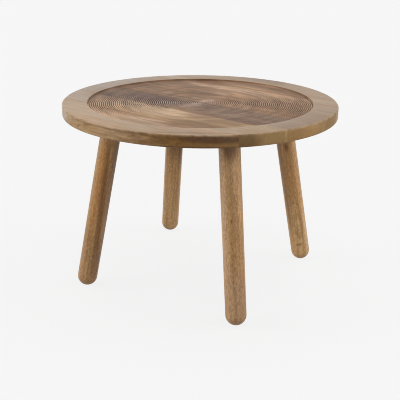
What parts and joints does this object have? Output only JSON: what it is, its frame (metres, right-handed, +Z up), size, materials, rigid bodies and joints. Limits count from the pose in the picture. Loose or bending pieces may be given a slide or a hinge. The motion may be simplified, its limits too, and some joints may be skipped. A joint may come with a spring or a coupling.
{
  "type": "side table",
  "caption": "Round wooden side table: an edge-glued top with a raised flat rim around a shallow tray of turned rings, on splayed round legs with ball feet.",
  "frame": {"origin": "on the floor, under the middle of the round top", "axes": "+Z up along the top's turning axis; the legs stand on the diagonals of X and Y; the boards run 11.25 degrees clockwise of X, seen from above"},
  "size_m": [0.6, 0.6, 0.413],
  "materials": {
    "board_wood": "matt lacquer on hardwood boards of mixed tone, from golden to grey brown",
    "leg_wood": "matt lacquer on turned hardwood, grain along the leg",
    "zinc_steel": "bright zinc plating"
  },
  "bodies": {
    "root": {"top_board_1": "board_wood", "top_board_2": "board_wood", "top_board_3": "board_wood", "top_board_4": "board_wood", "top_board_5": "board_wood", "top_board_6": "board_wood", "leg_back_right": "leg_wood", "leg_back_left": "leg_wood", "leg_front_left": "leg_wood", "leg_front_right": "leg_wood", "insert_back_right": "zinc_steel", "insert_back_left": "zinc_steel", "insert_front_left": "zinc_steel", "insert_front_right": "zinc_steel", "hanger_bolt_back_right": "zinc_steel", "hanger_bolt_back_left": "zinc_steel", "hanger_bolt_front_left": "zinc_steel", "hanger_bolt_front_right": "zinc_steel"}
  },
  "joints": []
}
